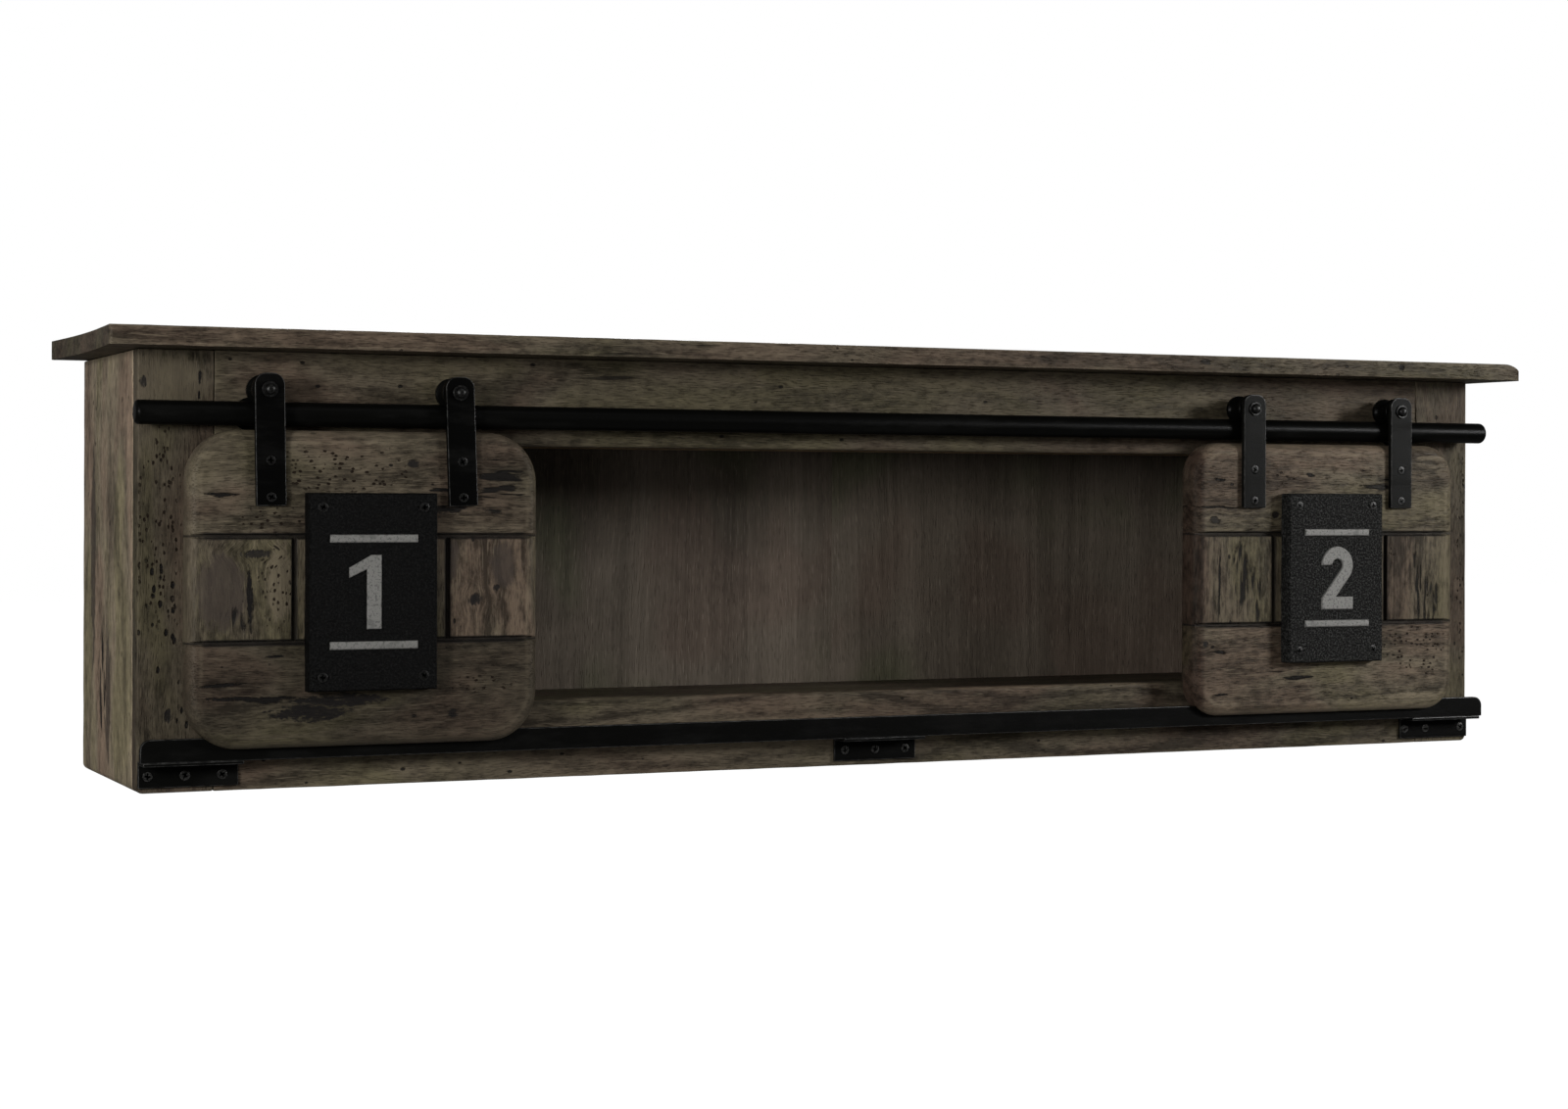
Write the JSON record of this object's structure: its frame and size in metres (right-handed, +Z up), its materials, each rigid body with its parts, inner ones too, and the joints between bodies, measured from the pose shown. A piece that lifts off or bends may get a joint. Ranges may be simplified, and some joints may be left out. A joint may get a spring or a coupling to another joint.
{
  "type": "wall shelf",
  "caption": "Long wooden wall shelf: an open niche under an overhanging top board, with plank doors that roll along a steel rod and cast plates on their fronts.",
  "frame": {"origin": "middle of the base of the whole shelf, at the height of the box's underside", "axes": "+X along the shelf to its right end as seen from the front, +Y into the wall, +Z up"},
  "size_m": [1.4686, 0.3, 0.397],
  "materials": {
    "cabinet_wood": "smoked, waxed and worn",
    "door_wood": "smoked, waxed and worn",
    "back_veneer": "stained veneer, matt",
    "plain_wood": "sawn, untreated",
    "black_steel": "satin black, worn at the edges",
    "black_screws": "blackened steel",
    "zinc_screws": "zinc plated",
    "bronze_bush": "sintered, oiled",
    "cast_plate": "rough cast, black paint, raised parts rubbed"
  },
  "bodies": {
    "cabinet": {"top_board": "cabinet_wood", "side_panel_left": "cabinet_wood", "side_panel_right": "cabinet_wood", "stile_left": "cabinet_wood", "stile_right": "cabinet_wood", "header_rail": "cabinet_wood", "sill_rail": "cabinet_wood", "floor_panel": "cabinet_wood", "floor_cleats": "plain_wood", "cleat_screws": "zinc_screws", "back_panel_left": "back_veneer", "back_panel_right": "back_veneer", "back_panel_screws": "zinc_screws", "hanging_rail": "plain_wood", "lower_back_rail": "plain_wood", "frame_dowels": "plain_wood", "corner_blocks": "plain_wood", "block_screws": "zinc_screws", "track_rod": "black_steel", "rod_standoffs": "black_steel", "standoff_bolts": "zinc_screws", "guide_rail": "black_steel", "rail_bracket_left": "black_steel", "rail_bracket_centre": "black_steel", "rail_bracket_right": "black_steel", "rail_bracket_screws": "black_screws"},
    "left_door": {"left_door_top_plank": "door_wood", "left_door_middle_planks": "door_wood", "left_door_bottom_plank": "door_wood", "left_door_tongues": "plain_wood", "left_door_hangers": "black_steel", "left_door_hanger_screws": "black_screws", "left_door_roller_bolts": "black_steel", "left_door_washers": "black_steel", "left_door_nuts": "black_steel", "left_door_plate": "cast_plate", "left_door_plate_screws": "black_screws"},
    "left_roller_a": {"left_door_roller_a": "black_steel", "left_door_bush_a": "bronze_bush"},
    "left_roller_b": {"left_door_roller_b": "black_steel", "left_door_bush_b": "bronze_bush"},
    "right_door": {"right_door_top_plank": "door_wood", "right_door_middle_planks": "door_wood", "right_door_bottom_plank": "door_wood", "right_door_tongues": "plain_wood", "right_door_hangers": "black_steel", "right_door_hanger_screws": "black_screws", "right_door_roller_bolts": "black_steel", "right_door_washers": "black_steel", "right_door_nuts": "black_steel", "right_door_plate": "cast_plate", "right_door_plate_screws": "black_screws"},
    "right_roller_a": {"right_door_roller_a": "black_steel", "right_door_bush_a": "bronze_bush"},
    "right_roller_b": {"right_door_roller_b": "black_steel", "right_door_bush_b": "bronze_bush"}
  },
  "joints": [
    {"name": "left_door_slide", "type": "slide", "parent": "cabinet", "child": "left_door", "axis": [1, 0, 0], "range_m": [-0.035, 0.345]},
    {"name": "left_roller_a_spin", "type": "hinge", "parent": "left_door", "child": "left_roller_a", "pos_m": [-0.596, -0.118, 0.3456], "axis": [0, 1, 0], "range_deg": [-209, 2022]},
    {"name": "left_roller_b_spin", "type": "hinge", "parent": "left_door", "child": "left_roller_b", "pos_m": [-0.4265, -0.118, 0.3456], "axis": [0, 1, 0], "range_deg": [-209, 2022]},
    {"name": "right_door_slide", "type": "slide", "parent": "cabinet", "child": "right_door", "axis": [1, 0, 0], "range_m": [-0.334, 0.044]},
    {"name": "right_roller_a_spin", "type": "hinge", "parent": "right_door", "child": "right_roller_a", "pos_m": [0.4048, -0.118, 0.3456], "axis": [0, 1, 0], "range_deg": [-1957, 262]},
    {"name": "right_roller_b_spin", "type": "hinge", "parent": "right_door", "child": "right_roller_b", "pos_m": [0.5843, -0.118, 0.3456], "axis": [0, 1, 0], "range_deg": [-1957, 262]}
  ],
  "couplings": [
    {"joint": "left_roller_a_spin", "follows": "left_door_slide", "rad_per_m": 102.04},
    {"joint": "left_roller_b_spin", "follows": "left_door_slide", "rad_per_m": 102.04},
    {"joint": "right_roller_a_spin", "follows": "right_door_slide", "rad_per_m": 102.04},
    {"joint": "right_roller_b_spin", "follows": "right_door_slide", "rad_per_m": 102.04}
  ]
}
